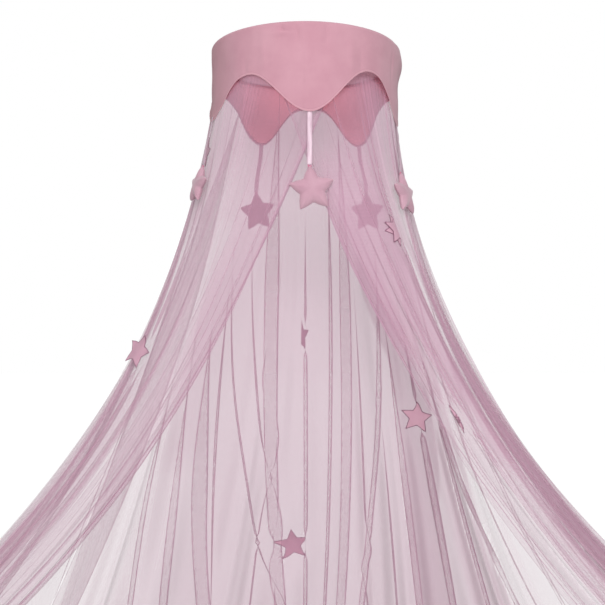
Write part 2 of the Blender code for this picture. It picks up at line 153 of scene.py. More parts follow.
PLEATS = (
    # folds laid over in the back: cloth at top and hem, width at the hem, where it starts, side it is laid to
    (0.403, 0.430, 0.022, 0.40, 1), (0.411, 0.446, 0.026, 0.35, -1), (0.417, 0.463, 0.050, 0.30, 1),
    (0.432, 0.467, 0.010, 0.20, -1), (0.422, 0.492, 0.008, 0.15, 1), (0.443, 0.496, 0.008, 0.12, -1),
    (0.467, 0.491, 0.044, -0.10, 1), (0.5005, 0.5005, 0.013, 0.10, -1), (0.527, 0.508, 0.012, 0.00, 1),
    (0.541, 0.514, 0.034, -0.05, 1), (0.545, 0.527, 0.006, 0.20, -1), (0.578, 0.521, 0.018, 0.15, 1),
    (0.566, 0.5505, 0.022, 0.28, -1), (0.556, 0.540, 0.007, 0.40, 1), (0.580, 0.568, 0.024, 0.30, 1),
    (0.568, 0.610, 0.018, 0.30, -1), (0.590, 0.588, 0.014, 0.35, 1), (0.484, 0.478, 0.006, 0.15, -1),
)
EDGE_PLEATS = (
    # the same beside the flaps' open edges
    (0.006, 0.006, 0.005, -0.30, 1), (0.013, 0.012, 0.006, -0.20, -1), (0.024, 0.021, 0.004, -0.10, 1),
    (0.050, 0.040, 0.007, 0.10, -1), (0.078, 0.088, 0.006, 0.10, 1), (0.118, 0.128, 0.008, 0.20, -1),
    (0.993, 0.993, 0.004, -0.20, -1), (0.982, 0.978, 0.005, 0.00, 1), (0.955, 0.962, 0.006, 0.05, -1),
    (0.938, 0.944, 0.007, 0.10, 1),
)
FLAT_STARS = (
    # name, cloth, drop, radius, roll, how far the net is flattened there, side it is sewn on, layers it is
    # folded in, how far it stands turned off the net
    ("patch_left_wing", 0.205, 0.452, 0.058, 10.0, 0.95, 1, 1, -30.0),
    ("patch_back_right", 0.572, 0.578, 0.060, -6.0, 0.97, -1, 1, 0.0),
    ("patch_back_low", 0.4945, 0.817, 0.060, 8.0, 0.97, 1, 1, 0.0),
    ("patch_back_middle", 0.5005, 0.436, 0.058, 0.0, 0.90, 1, 2, -60.0),
    ("patch_right_high", 0.882, 0.272, 0.055, -14.0, 0.80, 1, 2, 0.0),
    ("patch_right_wing", 0.950, 0.535, 0.046, 20.0, 0.90, 1, 10, 0.0),
    ("patch_left_high", 0.233, 0.146, 0.050, 12.0, 0.70, 1, 1, 0.0),
)
GATHERS = 150  # fine gathers all along the seam
GATHER_DEPTH = 0.0009
TOP_FOLD = 0.0010
PLEAT_LIFT = 0.0012  # of the layers of a pleat
PLEAT_THINNED = 0.79  # the cloth of a pleat lies looser, so that its three layers stop little more than one
NET_COLUMNS, BACK_COLUMNS, NET_ROWS = 400, 640, 136
CROWN_ROWS, CROWN_DROP = 36, 0.12  # of these in the top eighth, behind the band's edge
PLEAT_COLUMNS = 0.12  # weight of a pleat among the columns
LAP_STEP = 0.0015  # to which the laps of the net are counted


def smooth_step(low, high, value):
    """From 0 at low to 1 at high, or the other way round, with soft ends."""
    share = np.clip((value - low) / (high - low), 0.0, 1.0)
    return share * share * (3.0 - 2.0 * share)


def running(steps, axis=-1):
    """The way gone along the steps at each of their ends, from nothing."""
    return np.concatenate([np.zeros_like(np.take(steps, [0], axis)), np.cumsum(steps, axis=axis)], axis=axis)


def lengths(points, axis=0):
    """The length gone at each point of a line, or of a grid's rows or columns."""
    return running(np.linalg.norm(np.diff(points, axis=axis), axis=-1), axis)


def hoop_degrees(points):
    """Degrees round the hoop, from the front."""
    return np.degrees(np.arctan2(points[..., 0], -points[..., 1]))


def along_guides(column, cloth):
    """A smooth curve through one column of the guides."""
    at = np.array([row[0] for row in GUIDES])
    value = np.array([row[column] for row in GUIDES], dtype=float)
    slope = np.gradient(value, at)
    first = np.clip(np.searchsorted(at, cloth, side="right") - 1, 0, len(at) - 2)
    step = at[first + 1] - at[first]
    q = (cloth - at[first]) / step
    return ((2 * q**3 - 3 * q**2 + 1) * value[first] + (q**3 - 2 * q**2 + q) * step * slope[first]
            + (3 * q**2 - 2 * q**3) * value[first + 1] + (q**3 - q**2) * step * slope[first + 1])


def net_fall(cloth, drop):
    """Plan position of the net without its folds, for a share of the cloth and of the drop."""
    angle = np.radians(along_guides(1, cloth))
    top_x, top_y = SEAM_RADIUS * np.sin(angle), -SEAM_RADIUS * np.cos(angle)
    straight, power = along_guides(4, cloth), along_guides(5, cloth)
    late = np.maximum(drop - SWEEP_START, 0.0) / (1.0 - SWEEP_START)
    sweep = straight * late + (1.0 - straight) * late**power
    x = top_x + (along_guides(2, cloth) - top_x) * sweep
    y = top_y + (along_guides(3, cloth) - top_y) * sweep
    crossing = 1.0 - smooth_step(0.18, 0.34, drop)
    out = FLAP_OUTSET * smooth_step(0.14, 0.02, cloth) * smooth_step(0.0, 0.05, drop)
    out = (out - FLAP_INSET * smooth_step(0.78, 0.88, cloth)) * crossing
    return x + out * np.sin(angle), y - out * np.cos(angle)


def net_frame(cloth, drop):
    """Plan position, the way round along the cloth, and the metres of plan for the whole cloth."""
    x, y = net_fall(cloth, drop)
    before, after = np.clip(cloth - 0.002, 0.0, 1.0), np.clip(cloth + 0.002, 0.0, 1.0)
    (x0, y0), (x1, y1) = net_fall(before, drop), net_fall(after, drop)
    along = np.stack([x1 - x0, y1 - y0], axis=-1)
    length = np.linalg.norm(along, axis=-1)
    return x, y, along / length[..., None], length / (after - before)


def all_pleats():
    """The back's pleats, and those of the sides and flaps, which are spaced by rule."""
    pleats = list(PLEATS + EDGE_PLEATS)
    for _, first, last, _, _, _, count, *_ in BREADTHS:
        hem_spread = float(net_frame((first + last) / 2, 1.0)[3])
        for k in range(count):
            at = first + (last - first) * (k + 0.5 + 0.38 * sin(5.1 * k + 47.0 * first)) / count
            leaning = 0.35 * (last - first) / count * sin(2.9 * k + 13.0 * first)
            uneven = (0.5 + 0.5 * sin(3.7 * k + 29.0 * first + 1.0)) ** 3
            wide = 0.0025 + 0.7 * (last - first) / count * hem_spread * uneven
            start = 0.05 + 0.22 * sin(2.3 * k + 11.0 * first)
            pleats.append((at - leaning, at + leaning, wide, start, 1 if sin(7.9 * k + first) > 0 else -1))
    return pleats


def pleat_shapes(cloth, drop):
    """For each pleat: where it is, its width and side, how far it is laid over, and the distance from it."""
    for at_top, at_hem, wide, start, side in all_pleats():
        hem_spread = float(net_frame(at_hem, 1.0)[3])
        away = (cloth - at_top - (at_hem - at_top) * drop) * 2.0 * hem_spread / wide
        near = np.abs(away) < 5.0
        if near.any():
            level = np.broadcast_to(drop, near.shape)[near]
            laid = smooth_step(start, start + 0.45, level) * (0.75 + 0.25 * level)
            yield near, wide * side, laid, away[near]


def near_stars(cloth, drop, spread):
    """Share of the folds, and of the pleats, that is left where a flat star holds the net out."""
    folds, pleats = np.ones_like(cloth), np.ones_like(cloth)
    for _, at_cloth, at_drop, radius, _, flattened, *_ in FLAT_STARS:
        away = np.hypot((cloth - at_cloth) * spread, (drop - at_drop) * (NET_HIGH[2] - NET_LOW[2])) / radius
        folds = folds * (1.0 - flattened * np.exp(-(away / 1.5) ** 2))
        pleats = pleats * (1.0 - np.exp(-(away / 1.05) ** 6))
    return folds, pleats


def net_surface(cloth, drop):
    """The net's surface with its folds, gathers and pleats."""
    cloth, drop = np.broadcast_arrays(np.asarray(cloth, float), np.asarray(drop, float))
    x, y, along, spread = net_frame(cloth, drop)
    turns, depth, lean = np.zeros_like(cloth), np.zeros_like(cloth), np.zeros_like(cloth)
    for _, first, last, folds, hem_depth, side, *_ in BREADTHS:
        q = np.clip((cloth - first) / (last - first), 0.0, 1.0)
        uneven = 0.035 * np.sin(2 * pi * q) + 0.022 * np.sin(4 * pi * q) + 0.014 * np.sin(6 * pi * q)
        drift = 0.20 * np.sin(pi * q) * np.sin(3.0 * drop + 9.0 * first)
        turns = turns + folds * (q + uneven) + drift
        here = (cloth >= first) & (cloth <= last)
        depth, lean = np.where(here, hem_depth, depth), np.where(here, side, lean)
    depth = depth * (1.0 + 0.30 * np.sin(2 * pi * (7.3 * cloth + 0.15)) + 0.22 * np.sin(34.0 * pi * cloth))
    swell = TOP_FOLD + depth * smooth_step(-0.25, 1.0, drop) * drop**1.1
    edge = smooth_step(0.0, 0.03, cloth) * smooth_step(0.0, 0.05, 1.0 - cloth)
    swell = swell * (0.2 + 0.8 * edge)
    folds, fine = near_stars(cloth, drop, spread)
    shallow = 1.0 - 0.5 * np.exp(-((cloth - 0.365) / 0.05) ** 2) - 0.5 * np.exp(-((cloth - 0.64) / 0.05) ** 2)
    swell = swell * folds * shallow
    wave = np.sin(2 * pi * turns)
    normal = -swell * wave
    slide = lean * swell * wave
    small = 3.0 * turns + 0.7 * np.sin(2.3 * turns + 1.9 * drop)
    uneven = 0.7 + 0.3 * np.sin(31.0 * cloth + 2.0 * drop)
    normal = normal + fine * 0.16 * swell * np.sin(2 * pi * small) * uneven
    gather = GATHERS * cloth + 0.9 * np.sin(43.0 * cloth) + 0.5 * np.sin(97.0 * cloth + 3.0 * drop)
    uneven = 0.65 + 0.35 * np.sin(61.0 * cloth + 4.0 * drop) * np.sin(23.0 * cloth - 2.5 * drop)
    depth = GATHER_DEPTH * uneven * (1.0 - 0.62 * smooth_step(0.0, 0.35, drop))
    normal = normal + fine * depth * np.sin(2 * pi * gather)
    for near, wide, laid, away in pleat_shapes(cloth, drop):
        slide[near] -= fine[near] * abs(wide) * laid * away * np.exp((1.0 - away * away) / 2)
        lift = np.sign(wide) * min(PLEAT_LIFT, 0.3 * abs(wide))
        normal[near] += fine[near] * lift * laid * np.tanh(1.5 * away) * np.exp(-(away / 3.0) ** 2)
    z = NET_HIGH[2] + (NET_LOW[2] - NET_HIGH[2]) * drop + 0.004 * np.sin(37.0 * cloth) * drop**6
    return np.stack([x + along[..., 1] * normal + along[..., 0] * slide,
                     y - along[..., 0] * normal + along[..., 1] * slide, z], axis=-1)


def mesh_piece(name, points, faces):
    """A smooth piece from its points and faces."""
    mesh = bpy.data.meshes.new(name)
    mesh.from_pydata(points, [], faces)
    mesh.shade_smooth()
    piece = bpy.data.objects.new(name, mesh)
    bpy.context.scene.collection.objects.link(piece)
    return piece


def cloth_piece(name, grid, uv, closed=False):
    """A sheet over a grid of points: rows downwards, and columns from left to right as seen from outside."""
    rows, columns = grid.shape[:2]
    row, column = np.mgrid[0:rows - 1, 0:columns if closed else columns - 1]
    corners = ((row, column), (row + 1, column), (row + 1, column + 1), (row, column + 1))
    faces = np.stack([r * columns + c % columns for r, c in corners], axis=-1).reshape(-1, 4)
    piece = mesh_piece(name, grid.reshape(-1, 3).tolist(), faces.tolist())
    layer = piece.data.uv_layers.new(name="cloth")
    places = np.stack([uv[r, c] for r, c in corners], axis=-2)
    layer.uv.foreach_set("vector", places.astype(np.float32).ravel())
    return piece


POINTS = (
    # name, angle, tip z, sharpness, next arch z
    ("front", 2.5, -0.262, 1.05, -0.130),
    ("right", 76.0, -0.256, 1.20, -0.134),
    ("back_right", 142.0, -0.260, 1.50, -0.116),
    ("back_left", 210.0, -0.251, 1.70, -0.118),
    ("left", 290.0, -0.248, 1.15, -0.143),
)


def band_hem(angle):
    """Level of the lower edge: rounded points with rounded arches between them."""
    angle = (angle - POINTS[0][1]) % 360.0 + POINTS[0][1]
    level = np.full_like(angle, POINTS[0][2])
    for here, after in zip(POINTS, POINTS[1:] + POINTS[:1]):
        span = (after[1] - here[1]) % 360.0
        share = (angle - here[1]) / span
        tip, sharpness = (np.where(share < 0.5, here[k], after[k]) for k in (2, 3))
        wave = (0.5 + 0.5 * np.cos(2 * pi * share)) ** sharpness
        level = np.where((share >= 0) & (share <= 1), here[4] + (tip - here[4]) * wave, level)
    return level


BUNCHED = (
    # where the net is bunched, or spread thin: cloth, half-width, first drop, last drop, layers more or less
    (0.000, 0.014, -0.20, 1.10, 1.1),
    (0.225, 0.060, -0.20, 0.30, 2.2),
    (0.170, 0.030, 0.05, 0.72, 0.35),
    (0.170, 0.030, 0.64, 1.10, 0.05),
    (0.280, 0.050, 0.10, 1.10, 0.6),
    (0.434, 0.010, 0.25, 0.70, 0.8),
    (0.973, 0.035, 0.12, 0.48, 3.0),
    (0.941, 0.004, 0.25, 0.52, -1.2),
    (0.885, 0.050, 0.10, 0.64, 1.4),
    (0.885, 0.050, 0.56, 1.10, 0.15),
    (0.895, 0.045, 0.12, 0.56, 1.2),
    (0.740, 0.070, 0.10, 1.10, 0.4),
    (0.150, 0.035, -0.20, 0.22, 1.4),
    (0.835, 0.035, -0.20, 0.22, 1.5),
    (0.775, 0.060, -0.20, 0.25, 2.4),
)

DOUBLED = (
    # where it lies double, or single, with clear edges: layers more, then drop, first and last cloth
    (1.2, (0.28, 0.540, 0.545), (0.37, 0.546, 0.560), (0.46, 0.556, 0.580), (0.55, 0.560, 0.586),
     (0.64, 0.559, 0.582), (0.74, 0.554, 0.574), (1.00, 0.550, 0.568)),
    (0.5, (0.50, 0.575, 0.598), (1.00, 0.580, 0.598)),
    (-0.6, (0.24, 0.081, 0.117), (1.00, 0.081, 0.117)),
)


def fullness(cloth, drop, grid):
    """How many flat layers' worth of net there is at a place. The back is fullest, and the flaps hang thin."""
    layers = np.interp(cloth, [0.0, 0.24, 0.28, 0.33, 0.36, 0.40, 0.43, 0.45, 0.55,
                               0.597, 0.603, 0.64, 0.70, 0.74, 0.78, 0.93, 0.96, 1.0],
                       [1.1, 0.9, 1.2, 1.1, 1.3, 1.0, 1.9, 2.4, 2.5,
                        2.1, 1.3, 1.0, 0.9, 1.4, 1.3, 1.1, 0.7, 0.5])
    back = smooth_step(0.36, 0.42, cloth) * smooth_step(0.64, 0.58, cloth)
    layers = layers * (1.0 + back * (np.interp(drop, [0.0, 0.2, 0.33, 0.44, 0.56, 0.80, 1.0],
                                               [1.6, 1.2, 1.25, 1.15, 1.05, 1.1, 1.15]) - 1.0))
    for at, half_width, low, high, more in BUNCHED:
        near = np.exp(-((cloth - at) / half_width) ** 2) * smooth_step(low, low + 0.15, drop)
        layers = layers + more * near * smooth_step(high, high - 0.08, drop)
    for more, *rows in DOUBLED:
        levels, *edges = np.array(rows).T
        first, last = (np.interp(drop, levels, edge) for edge in edges)
        inside = smooth_step(-0.0008, 0.0008, cloth - first) * smooth_step(0.0008, -0.0008, cloth - last)
        layers = layers + more * inside * smooth_step(levels[0], levels[0] + 0.04, drop)
    layers = np.maximum(layers, 0.3)
    in_band = smooth_step(0.001, 0.008, grid[..., 2] - band_hem(hoop_degrees(grid)))
    front = smooth_step(0.12, 0.05, cloth) + smooth_step(0.88, 0.95, cloth)
    crown = smooth_step(-0.30, -0.22, grid[..., 2])
    return layers * (1.0 - 0.86 * in_band * back) * (1.0 - 0.45 * in_band) * (1.0 - 0.40 * crown * front)


def lying_layers(place, margin):
    """How many layers of a breadth lie over each other at each point, from the places along its rows.

    Each lap is counted narrower by a margin, in steps, so that no thinned strip sticks out beside it.
    """
    count = np.ones_like(place)
    for row, line in enumerate(place):
        step = np.round((line - line.min()) / LAP_STEP).astype(int)
        change = np.zeros(step.max() + 2)
        np.add.at(change, np.minimum(step[:-1], step[1:]), 1.0)
        np.add.at(change, np.maximum(step[:-1], step[1:]), -1.0)
        over = np.cumsum(change)
        over = np.min([np.roll(over, k) for k in range(-margin, margin + 1)], axis=0)
        count[row] = np.maximum(over[step], 1.0)
    return count


# Net: threads of a fifth of a millimetre round holes of one and a half. They let most light through, so one
# layer is a light veil and several are a soft mauve. Drawn with 4 mm holes, or the render would not show them.
MESH_PITCH = 0.0040
VEIL = 0.25  # share of the light that one flat layer stops
SHADE = 0.14  # share that it keeps from the layers behind
net_cloth = new_material("mauve_polyester_net", 0.75, IOR=1.5, Specular_IOR_Level=0.25, Sheen_Weight=0.40,
    Sheen_Roughness=0.5)
uv = add_node(net_cloth, "ShaderNodeUVMap", uv_map="cloth")
cells = add_node(net_cloth, "ShaderNodeTexVoronoi", {"Vector": uv, "Scale": 1 / MESH_PITCH,
    "Randomness": 0.35}, feature="DISTANCE_TO_EDGE", voronoi_dimensions="2D")
thread = add_node(net_cloth, "ShaderNodeMapRange", {"Value": cells, "From Min": 0.05, "From Max": 0.28,
    "To Min": 1.45, "To Max": 0.80})
close = add_node(net_cloth, "ShaderNodeAttribute", attribute_name="closeness", attribute_type="GEOMETRY")
layers = add_node(net_cloth, "ShaderNodeMath", {0: close.outputs["Fac"], 1: thread}, operation="MULTIPLY")
ray = add_node(net_cloth, "ShaderNodeLightPath")  # threads pass most light on, so the shadows are faint
clearness = add_node(net_cloth, "ShaderNodeMapRange", {"Value": ray.outputs["Is Shadow Ray"],
    "To Min": 1.0 - VEIL, "To Max": 1.0 - SHADE})
passed = add_node(net_cloth, "ShaderNodeMath", {0: clearness, 1: layers}, operation="POWER")
stopped = add_node(net_cloth, "ShaderNodeMath", {0: 1.0, 1: passed}, operation="SUBTRACT")
feed(net_cloth, "Alpha", stopped)
# Painted shade: where the layers lie closest, at pleats, bunches and turned edges, the net's colour is mixed
# darker. This stands in for the shade that the piled layers cast on each other.
piled_shade = add_node(net_cloth, "ShaderNodeMapRange", {"Value": close.outputs["Fac"], "From Min": 2.8,
    "From Max": 6.5, "To Max": 0.65})
tone = add_node(net_cloth, "ShaderNodeMix", {"Factor": piled_shade, 6: linear("#cda0b6"), 7: linear("#a97f96")},
    data_type="RGBA")
feed(net_cloth, "Base Color", tone.outputs[2])

HEM_WIDTH = 0.006  # of the turned edges
FINE_PLACES = 3001  # across a breadth, from which its columns are picked
net_grids = []
for name, first, last, *_, top_cut, hem_cut in BREADTHS:
    # Columns run down the cloth, and lie closer in the pleats, which they follow
    drop = np.concatenate([np.linspace(0.0, CROWN_DROP, CROWN_ROWS),
                           np.linspace(CROWN_DROP, 1.0, NET_ROWS - CROWN_ROWS + 2)[1:]])[:, None]
    samples = np.linspace(first, last, FINE_PLACES)[None, :] * np.ones_like(drop)
    weight = np.full_like(samples, 1.0 / (last - first))
    for near, wide, _, away in pleat_shapes(samples, drop):
        weight[near] += PLEAT_COLUMNS * (1.0 / abs(wide) + 90.0) * np.exp(-(away / 2.6) ** 4)
    place = np.cumsum(weight, axis=1)
    place = (place - place[:, :1]) / (place[:, -1:] - place[:, :1])
    columns = np.linspace(0.0, 1.0, (BACK_COLUMNS if name == "net_back" else NET_COLUMNS) + 1)
    cloth = np.stack([np.interp(columns, row, samples[0]) for row in place])
    grid = net_surface(cloth, drop)
    _, _, along, spread = net_frame(cloth, drop)
    step = np.gradient(grid, axis=1)
    run = np.abs(np.sum(step[..., :2] * along, axis=-1))
    closeness = np.clip(np.linalg.norm(step[..., :2], axis=-1) / np.maximum(run, 1e-6), 1.0, 3.0) ** 0.5
    moved = np.sum(np.diff(grid[..., :2], axis=1) * (along[:, 1:] + along[:, :-1]) / 2, axis=-1)
    layers = lying_layers(running(moved), 1 if "flap" in name else 2)
    closeness = closeness * fullness(cloth, drop, grid) * layers ** -PLEAT_THINNED
    down = (NET_HIGH[2] - NET_LOW[2]) * drop * np.ones_like(grid[..., 0])
    across = lengths(grid, 1)
    from_edge = down[-1, 0] - down  # of the hem, and of a flap's open side
    if name == "net_flap_left":
        from_edge = np.minimum(from_edge, across)
    if name == "net_flap_right":
        from_edge = np.minimum(from_edge, across[:, -1:] - across)
    hem = smooth_step(HEM_WIDTH * 1.3, HEM_WIDTH * 0.8, from_edge)
    closeness = closeness * (1.0 + 0.6 * hem) + 1.5 * hem
    panel = cloth_piece(name + "_cloth", grid[:, ::-1], np.stack([across, -down], axis=-1)[:, ::-1])
    layer = panel.data.attributes.new("closeness", "FLOAT", "POINT")
    layer.data.foreach_set("value", closeness[:, ::-1].astype(np.float32).ravel())
    panel.data.materials.append(net_cloth)
    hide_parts(name)
    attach(panel, "root")
    net_grids.append(grid)

# How far out the net comes, by level and by degree round the hoop, for what hangs over it
REACH_STEP = 0.01
REACH_WINDOW = 4  # degrees to each side
REACH_LEVELS = np.arange(-0.66, NET_HIGH[2], REACH_STEP)
reach_table = np.zeros((len(REACH_LEVELS), 360))
for grid in net_grids:
    degree = hoop_degrees(grid).astype(int) % 360
    level = np.round((grid[..., 2] - REACH_LEVELS[0]) / REACH_STEP).astype(int)
    level = np.minimum(level, len(REACH_LEVELS) - 1)
    near = grid[..., 2] > REACH_LEVELS[0] - REACH_STEP / 2
    np.maximum.at(reach_table, (level[near], degree[near]), np.hypot(grid[..., 0], grid[..., 1])[near])
for _ in range(2):
    reach_table = np.maximum(reach_table, np.maximum(np.roll(reach_table, 1, 1), np.roll(reach_table, -1, 1)))
    reach_table[1:] = np.where(reach_table[1:] == 0, reach_table[:-1], reach_table[1:])


def net_reach(angle, z):
    """How far out the net comes near an angle and at a level."""
    level = np.clip(np.round((z - REACH_LEVELS[0]) / REACH_STEP).astype(int), 0, len(REACH_LEVELS) - 1)
    degree = np.round(angle).astype(int)
    beside = range(-REACH_WINDOW, REACH_WINDOW + 1)
    return np.max([reach_table[level, (degree + k) % 360] for k in beside], axis=0)


# ---- Band
# A stiff woven cotton band, dyed pink. It is folded over the hoop and turned down inside as its own facing,
# and its lower edge is cut in five rounded points with a narrow stitched hem. It has soft dents and a few
# creases.

BAND_THICK = 0.0011
BAND_FOLD = hoop_tube + 0.0020 + BAND_THICK / 2  # radius of its turn over the hoop
BULGES = (
    # angle, z, half-width in degrees, half-height, outwards
    (95.0, -0.045, 26.0, 0.045, 0.0150),
    (-62.0, -0.110, 16.0, 0.060, -0.0030),
    (40.0, -0.060, 20.0, 0.060, 0.0025),
    (-20.0, -0.030, 9.0, 0.018, 0.0030),
    (178.0, -0.080, 24.0, 0.060, 0.0035),
)
CREASES = (
    # angle, z, half-width in degrees, half-height, depth
    (-4.5, -0.034, 0.8, 0.020, -0.0034),
    (12.0, -0.035, 1.0, 0.035, -0.0022),
    (-13.0, -0.022, 1.3, 0.010, -0.0034),
    (-12.0, -0.036, 5.5, 0.003, 0.0030),
    (-11.0, -0.026, 5.0, 0.003, -0.0026),
    (1.5, -0.130, 3.2, 0.110, 0.0016),
    (27.0, -0.100, 2.2, 0.060, 0.0018),
    (-24.0, -0.085, 2.4, 0.050, 0.0018),
    (33.0, -0.120, 1.6, 0.045, -0.0012),
    (-36.0, -0.130, 1.4, 0.040, -0.0012),
    (-75.0, -0.080, 1.2, 0.060, -0.0018),
    (62.0, -0.090, 1.6, 0.050, -0.0016),
    (120.0, -0.060, 1.2, 0.050, -0.0016),
    (205.0, -0.070, 1.4, 0.050, -0.0018),
    (245.0, -0.060, 1.2, 0.050, -0.0016),
)
HEM_TURN = 0.007  # of the band's hem
HEM_ROOM = 2.4  # hem widths that have closer rows
NET_CLEARANCE = 0.0009
BAND_COLUMNS = 540


def band_wall(angle, z):
    """Radius of the outer wall, with its dents and creases, over the net below."""
    radius = HOOP_RADIUS + BAND_FOLD + np.zeros_like(angle + z)
    for at, level, half_width, half_height, out in BULGES + CREASES:
        away = (angle - at + 180.0) % 360.0 - 180.0
        radius = radius + out * np.exp(-(away / half_width) ** 2 - ((z - level) / half_height) ** 2)
    ripple = (np.sin(0.14 * angle + 31.0 * z) * np.sin(0.09 * angle - 17.0 * z + 1.0)
              + 0.5 * np.sin(0.31 * angle - 43.0 * z) * np.sin(0.23 * angle + 29.0 * z))
    radius = radius + 0.0010 * ripple * smooth_step(-0.01, -0.06, z)
    return np.maximum(radius, net_reach(angle, z) + NET_CLEARANCE)


angle = np.arange(BAND_COLUMNS + 1) * 360.0 / BAND_COLUMNS
hem = band_hem(angle)
steps = []  # radius and level, row by row: up the facing, over the hoop, down the wall, and down the hem
for share in np.linspace(0.0, 1.0, 7):
    steps.append((HOOP_RADIUS - BAND_FOLD, NET_HIGH[2] + (hoop_z - NET_HIGH[2]) * share))
for turn in np.radians(np.linspace(165.0, 15.0, 11)):
    steps.append((HOOP_RADIUS + BAND_FOLD * cos(turn), hoop_z + BAND_FOLD * sin(turn)))
for share in np.linspace(0.0, 1.0, 36):
    z = hoop_z - (hoop_z - hem - HEM_ROOM * HEM_TURN) * share
    steps.append((band_wall(angle, z), z))
for past in np.linspace(HEM_ROOM, 0.0, 13)[1:]:
    z = hem + HEM_TURN * past
    turned = 0.0007 * smooth_step(1.15, 0.95, past) - 0.0005 * np.exp(-((past - 1.05) / 0.12) ** 2)
    steps.append((band_wall(angle, z) + turned, z))
turn = np.radians(angle)
grid = np.stack([np.stack([r * np.sin(turn), -r * np.cos(turn), z + 0 * turn], axis=-1) for r, z in steps])
down = lengths(grid)
uv = np.stack([np.broadcast_to(turn * HOOP_RADIUS, down.shape), down[-1] - down], axis=-1)
band = cloth_piece("band_cloth", grid[:, :-1], uv, closed=True)

# Cotton: matt and even, with a fine plain weave, a darker row of stitches above the edge, and a faint mottle
# from the ironing. Its left end is painted darker, for shade. Its threads are drawn 1.4 mm apart, three times as
# coarse as they are.
THREAD_PITCH = 0.0014
THREAD_WAVES = 0.314 / THREAD_PITCH  # a wave texture has 20 waves in 2 pi
STITCH = 0.0030
cotton = new_material("pink_woven_cotton", 0.86, IOR=1.45, Specular_IOR_Level=0.25, Sheen_Weight=0.22,
    Sheen_Roughness=0.6)
uv = add_node(cotton, "ShaderNodeUVMap", uv_map="cloth")
parts = add_node(cotton, "ShaderNodeSeparateXYZ", {"Vector": uv})
where = add_node(cotton, "ShaderNodeTexCoord")
mottle = add_node(cotton, "ShaderNodeTexNoise", {"Vector": where.outputs["Object"], "Scale": 9.0,
    "Detail": 4.0, "Roughness": 0.55})
tone = add_node(cotton, "ShaderNodeMix", {"Factor": mottle, 6: linear("#bf8596"), 7: linear("#daa8b5")},
    data_type="RGBA", name="dye_and_painted_light")
# Painted shade: towards the band's left end the colour is mixed to a darker, browner pink, standing in for the
# shade there.
sides = add_node(cotton, "ShaderNodeSeparateXYZ", {"Vector": where.outputs["Object"]})
left_end_shade = add_node(cotton, "ShaderNodeMapRange", {"Value": sides.outputs["X"], "From Min": -0.22,
    "From Max": -0.30, "To Max": 0.45})
tone = add_node(cotton, "ShaderNodeMix", {"Factor": left_end_shade, 6: tone.outputs[2], 7: linear("#b8707a")},
    data_type="RGBA", name="left end shade")
along_line = add_node(cotton, "ShaderNodeMath", {0: parts.outputs["Y"], 1: HEM_TURN * 1.05},
    operation="SUBTRACT")
off_line = add_node(cotton, "ShaderNodeMath", {0: along_line}, operation="ABSOLUTE")
line = add_node(cotton, "ShaderNodeMapRange", {"Value": off_line, "From Min": 0.0003, "From Max": 0.0010,
    "To Min": 1.0, "To Max": 0.0})
beat = add_node(cotton, "ShaderNodeMath", {0: parts.outputs["X"], 1: 2 * pi / STITCH}, operation="MULTIPLY")
beat = add_node(cotton, "ShaderNodeMath", {0: beat}, operation="SINE")
stitch = add_node(cotton, "ShaderNodeMapRange", {"Value": beat, "From Min": -0.6, "From Max": 0.2,
    "To Min": 0.25, "To Max": 0.7})
stitched = add_node(cotton, "ShaderNodeMath", {0: line, 1: stitch}, operation="MULTIPLY")
tone = add_node(cotton, "ShaderNodeMix", {"Factor": stitched, 6: tone.outputs[2], 7: linear("#a4657a")},
    data_type="RGBA", name="stitches")
turned = add_node(cotton, "ShaderNodeMapRange", {"Value": parts.outputs["Y"], "From Min": HEM_TURN,
    "From Max": HEM_TURN * 0.9, "To Max": 0.35})
tone = add_node(cotton, "ShaderNodeMix", {"Factor": turned, 6: tone.outputs[2], 7: linear("#dca9b4")},
    data_type="RGBA", name="hem")
feed(cotton, "Base Color", tone.outputs[2])
warp, weft = (add_node(cotton, "ShaderNodeTexWave", {"Vector": uv, "Scale": THREAD_WAVES, "Distortion": 0.4},
    bands_direction=way) for way in "XY")
weave = add_node(cotton, "ShaderNodeMath", {0: warp.outputs["Fac"], 1: weft.outputs["Fac"]},
    operation="MULTIPLY")
bump = add_node(cotton, "ShaderNodeBump", {"Height": weave, "Strength": 0.35, "Distance": 0.0004})
feed(cotton, "Normal", bump)


def painted_light_copy(material, name, colours):
    """A copy of a material with painted light: its named mixes take new colours, lighter or deeper, for how the
    light falls on it.
    """
    copy = material.copy()
    copy.name = name
    for (part, socket), code in colours.items():
        copy.node_tree.nodes[part].inputs[socket].default_value = linear(code)
    return copy


def pick(piece):
    """Makes a piece the only one that the operators act on."""
    bpy.ops.object.select_all(action="DESELECT")
    piece.select_set(True)
    bpy.context.view_layer.objects.active = piece


def thicken(piece, thickness, even=False):
    """Gives a sheet its thickness, half to each side. A second material goes on its back."""
    wall = piece.modifiers.new("thickness", "SOLIDIFY")
    wall.thickness, wall.offset, wall.use_even_offset = thickness, 0.0, even
    wall.material_offset = max(len(piece.data.materials) - 1, 0)
    pick(piece)
    bpy.ops.object.modifier_apply(modifier=wall.name)


band.data.materials.append(cotton)
# Painted light: the inside gets a brighter, deeper pink, standing in for the light that comes through the dyed
# cloth, with a darker hem and stitches
band.data.materials.append(painted_light_copy(cotton, "pink_woven_cotton_inside_painted_light", {
    ("dye_and_painted_light", 6): "#f79aab", ("dye_and_painted_light", 7): "#ffb0c0", ("left end shade", 7): "#e08c98", ("stitches", 7): "#8f3f52",
    ("hem", 7): "#8f3f52"}))
thicken(band, BAND_THICK, even=True)
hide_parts("crown_band")
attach(band, "root")

# ---- Ribbons
# Narrow satin ribbon, one behind each point, sewn to the band's hem at the top and to a star's tip at the
# bottom. It hangs a little twisted, so that it catches the light in bright patches.

